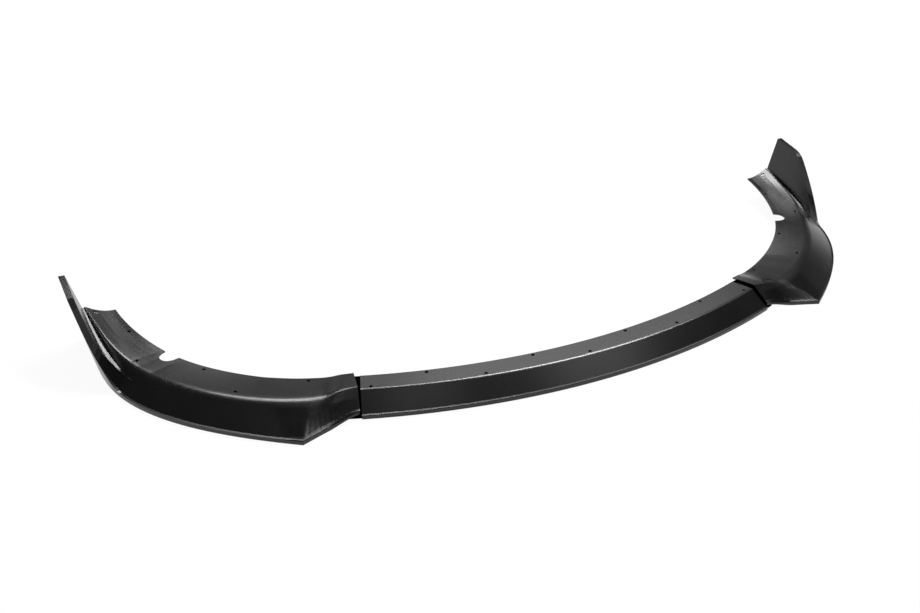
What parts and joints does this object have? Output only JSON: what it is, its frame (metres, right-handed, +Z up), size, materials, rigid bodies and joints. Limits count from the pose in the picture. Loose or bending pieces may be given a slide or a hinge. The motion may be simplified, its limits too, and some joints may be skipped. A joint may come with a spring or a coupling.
{
  "type": "front splitter lip",
  "caption": "Front splitter lip for a car bumper: a curved centre blade and two lapped corner pieces, each with an upswept fin at the rear and holes along the flange.",
  "frame": {"origin": "middle of the bounding box in plan, at the height of the rim's foot that the lip stands on", "axes": "+X to the right across the car, seen from the front of the picture's view; -Y to the front of the car; +Z up"},
  "size_m": [1.8334, 0.5869, 0.152],
  "materials": {
    "blade_plastic": "satin black moulded plastic",
    "corner_plastic": "satin black moulded plastic"
  },
  "bodies": {
    "root": {"centre_blade": "blade_plastic", "corner_left": "corner_plastic", "corner_right": "corner_plastic"}
  },
  "joints": []
}
